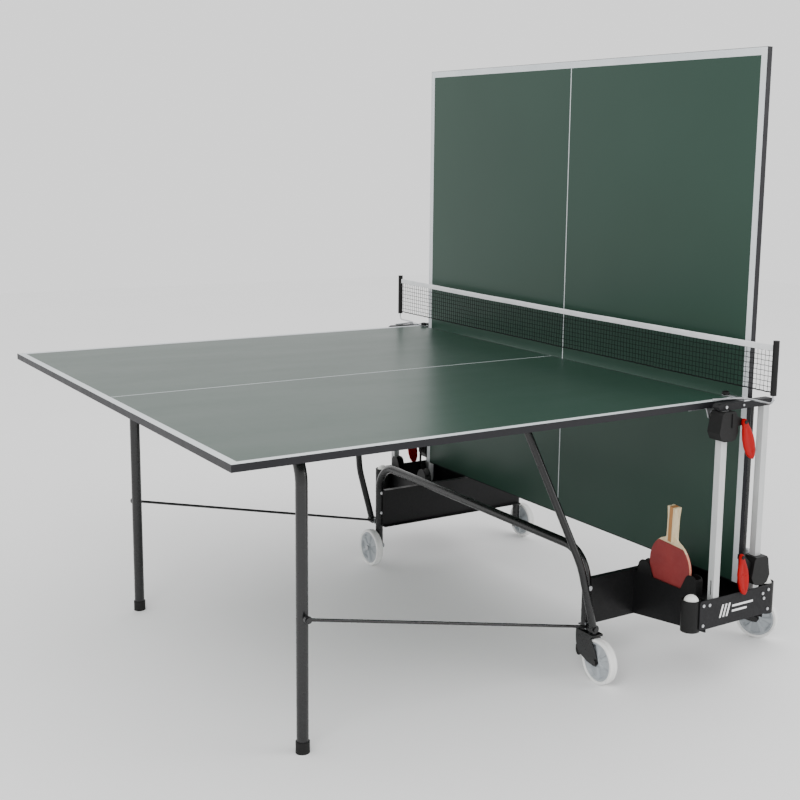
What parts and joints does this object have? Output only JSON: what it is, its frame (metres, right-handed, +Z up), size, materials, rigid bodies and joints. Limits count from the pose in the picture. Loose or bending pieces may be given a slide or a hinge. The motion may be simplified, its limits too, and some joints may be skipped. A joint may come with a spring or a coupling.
{
  "type": "folding table tennis table",
  "caption": "Folding table tennis table on a wheeled centre frame, one half flat for play and the other folded upright, with a net and folding legs.",
  "frame": {"origin": "Middle of the bounding box's footprint, on the floor the table stands on.", "axes": "+X runs along the playing direction, from the flat half towards the folded half; +Y runs across the table along the net; +Z is up from the floor."},
  "size_m": [1.7214, 1.786, 1.631],
  "materials": {
    "table_top": "satin",
    "edge_trim": "satin",
    "zinc_steel": "brushed",
    "black_plastic": "matte",
    "black_paint": "gloss",
    "black_rubber": "matte",
    "grey_plastic": "satin",
    "grey_rubber": "matte",
    "black_sheet": "satin",
    "anthracite_plate": "satin",
    "silver_tube": "satin",
    "red_plastic": "gloss",
    "white_plastic": "gloss",
    "bat_wood": "satin",
    "red_rubber": "matte",
    "net_fabric": "woven",
    "net_tape": "woven"
  },
  "bodies": {
    "chassis": {"wheel_frame_a": "black_paint", "wheel_frame_b": "black_paint", "side_panel_near": "black_sheet", "side_panel_far": "black_sheet", "storage_box_near": "black_sheet", "storage_box_far": "black_sheet", "end_plate_near": "anthracite_plate", "end_plate_far": "anthracite_plate", "bridge_near": "anthracite_plate", "bridge_far": "anthracite_plate", "guide_posts": "silver_tube", "chassis_pins": "zinc_steel", "castor_bushes": "black_plastic", "chassis_bolts": "zinc_steel", "ball_holders": "black_plastic", "balls": "white_plastic", "bat_holders": "black_plastic", "lock_rods": "black_paint", "bat_blade": "bat_wood", "bat_rubbers": "red_rubber", "net_posts": "black_plastic", "net_mesh": "net_fabric", "net_tape": "net_tape", "net_brackets": "zinc_steel"},
    "slider_a": {"slider_a": "black_plastic"},
    "slider_b": {"slider_b": "black_plastic"},
    "half_a": {"board_a": "table_top", "edge_band_a": "edge_trim", "hinge_bracket_a": "zinc_steel", "frame_bearings_a": "black_plastic"},
    "half_b": {"board_b": "table_top", "edge_band_b": "edge_trim", "hinge_bracket_b": "zinc_steel", "frame_bearings_b": "black_plastic"},
    "leg_a": {"leg_frame_a": "black_paint", "leg_feet_a": "black_rubber"},
    "leg_b": {"leg_frame_b": "black_paint", "leg_feet_b": "black_rubber"},
    "strut_a": {"strut_frame_a": "black_paint"},
    "strut_b": {"strut_frame_b": "black_paint"},
    "stay_a": {"stay_rods_a": "black_paint"},
    "stay_b": {"stay_rods_b": "black_paint"},
    "lever_a_near": {"release_lever_a_near": "red_plastic"},
    "lever_a_far": {"release_lever_a_far": "red_plastic"},
    "lever_b_near": {"release_lever_b_near": "red_plastic"},
    "lever_b_far": {"release_lever_b_far": "red_plastic"},
    "castor_a": {"castor_fork_a": "black_paint", "castor_hardware_a": "black_paint"},
    "castor_b": {"castor_fork_b": "black_paint", "castor_hardware_b": "black_paint"},
    "castor_wheel_a": {"castor_wheel_a": "grey_plastic", "castor_tyre_a": "grey_rubber"},
    "castor_wheel_b": {"castor_wheel_b": "grey_plastic", "castor_tyre_b": "grey_rubber"},
    "pedal_a": {"brake_pedal_a": "black_plastic"},
    "pedal_b": {"brake_pedal_b": "black_plastic"},
    "fixed_wheel_a": {"fixed_wheel_a": "grey_plastic", "fixed_tyre_a": "grey_rubber"},
    "fixed_wheel_b": {"fixed_wheel_b": "grey_plastic", "fixed_tyre_b": "grey_rubber"}
  },
  "joints": [
    {"name": "slide_a", "type": "slide", "parent": "chassis", "child": "slider_a", "axis": [0, 0, -1], "range_m": [0, 0.3981]},
    {"name": "fold_a", "type": "hinge", "parent": "slider_a", "child": "half_a", "pos_m": [0.43827, 0, 0.73], "axis": [0, 1, 0], "range_deg": [0, 90]},
    {"name": "leg_fold_a", "type": "hinge", "parent": "half_a", "child": "leg_a", "pos_m": [-0.59723, 0, 0.718], "axis": [0, -1, 0], "range_deg": [0, 80.55]},
    {"name": "strut_fold_a", "type": "hinge", "parent": "half_a", "child": "strut_a", "pos_m": [0.06727, 0, 0.719], "axis": [0, -1, 0], "range_deg": [0, 54.84]},
    {"name": "stay_swing_a", "type": "hinge", "parent": "chassis", "child": "stay_a", "pos_m": [0.22227, 0, 0.143], "axis": [0, 1, 0], "range_deg": [0, 86.75]},
    {"name": "slide_b", "type": "slide", "parent": "chassis", "child": "slider_b", "axis": [0, 0, 1], "range_m": [0, 0.3981]},
    {"name": "fold_b", "type": "hinge", "parent": "slider_b", "child": "half_b", "pos_m": [0.58427, 0, 0.332], "axis": [0, 1, 0], "range_deg": [0, 90]},
    {"name": "leg_fold_b", "type": "hinge", "parent": "half_b", "child": "leg_b", "pos_m": [0.59627, 0, 1.3675], "axis": [0, -1, 0], "range_deg": [0, 80.55]},
    {"name": "strut_fold_b", "type": "hinge", "parent": "half_b", "child": "strut_b", "pos_m": [0.59527, 0, 0.703], "axis": [0, -1, 0], "range_deg": [0, 54.84]},
    {"name": "stay_swing_b", "type": "hinge", "parent": "chassis", "child": "stay_b", "pos_m": [0.80027, 0, 0.143], "axis": [0, 1, 0], "range_deg": [0, 86.75]},
    {"name": "lever_pull_a_near", "type": "hinge", "parent": "slider_a", "child": "lever_a_near", "pos_m": [0.48227, -0.8228, 0.714], "axis": [0, 1, 0], "range_deg": [-14, 14]},
    {"name": "lever_pull_a_far", "type": "hinge", "parent": "slider_a", "child": "lever_a_far", "pos_m": [0.48227, 0.8228, 0.714], "axis": [0, 1, 0], "range_deg": [-14, 14]},
    {"name": "lever_pull_b_near", "type": "hinge", "parent": "slider_b", "child": "lever_b_near", "pos_m": [0.51427, -0.8101, 0.353], "axis": [0, 1, 0], "range_deg": [-4, 14]},
    {"name": "lever_pull_b_far", "type": "hinge", "parent": "slider_b", "child": "lever_b_far", "pos_m": [0.51427, 0.8101, 0.353], "axis": [0, 1, 0], "range_deg": [-4, 14]},
    {"name": "castor_swivel_a", "type": "hinge", "parent": "chassis", "child": "castor_a", "pos_m": [0.22827, -0.54, 0.131], "axis": [0, 0, 1], "continuous": true},
    {"name": "castor_swivel_b", "type": "hinge", "parent": "chassis", "child": "castor_b", "pos_m": [0.79427, -0.54, 0.131], "axis": [0, 0, 1], "continuous": true},
    {"name": "castor_roll_a", "type": "hinge", "parent": "castor_a", "child": "castor_wheel_a", "pos_m": [0.22827, -0.602, 0.06], "axis": [1, 0, 0], "continuous": true},
    {"name": "castor_roll_b", "type": "hinge", "parent": "castor_b", "child": "castor_wheel_b", "pos_m": [0.82338, -0.59474, 0.06], "axis": [0.8829, 0.4695, 0], "continuous": true},
    {"name": "pedal_tip_a", "type": "hinge", "parent": "castor_a", "child": "pedal_a", "pos_m": [0.22827, -0.532, 0.112], "axis": [-1, 0, 0], "range_deg": [0, 7]},
    {"name": "pedal_tip_b", "type": "hinge", "parent": "castor_b", "child": "pedal_b", "pos_m": [0.79051, -0.53294, 0.112], "axis": [-0.8829, -0.4695, 0], "range_deg": [0, 7]},
    {"name": "fixed_roll_a", "type": "hinge", "parent": "chassis", "child": "fixed_wheel_a", "pos_m": [0.19827, 0.54, 0.06], "axis": [1, 0, 0], "continuous": true},
    {"name": "fixed_roll_b", "type": "hinge", "parent": "chassis", "child": "fixed_wheel_b", "pos_m": [0.82427, 0.54, 0.06], "axis": [1, 0, 0], "continuous": true}
  ],
  "couplings": [
    {"joint": "slide_a", "follows": "fold_a", "m_per_rad": 0.25337},
    {"joint": "leg_fold_a", "follows": "fold_a", "ratio": 0.8949},
    {"joint": "strut_fold_a", "follows": "fold_a", "ratio": 0.60924},
    {"joint": "stay_swing_a", "follows": "fold_a", "ratio": 0.96374},
    {"joint": "slide_b", "follows": "fold_b", "m_per_rad": 0.25337},
    {"joint": "leg_fold_b", "follows": "fold_b", "ratio": 0.8949},
    {"joint": "strut_fold_b", "follows": "fold_b", "ratio": 0.60924},
    {"joint": "stay_swing_b", "follows": "fold_b", "ratio": 0.96374}
  ]
}
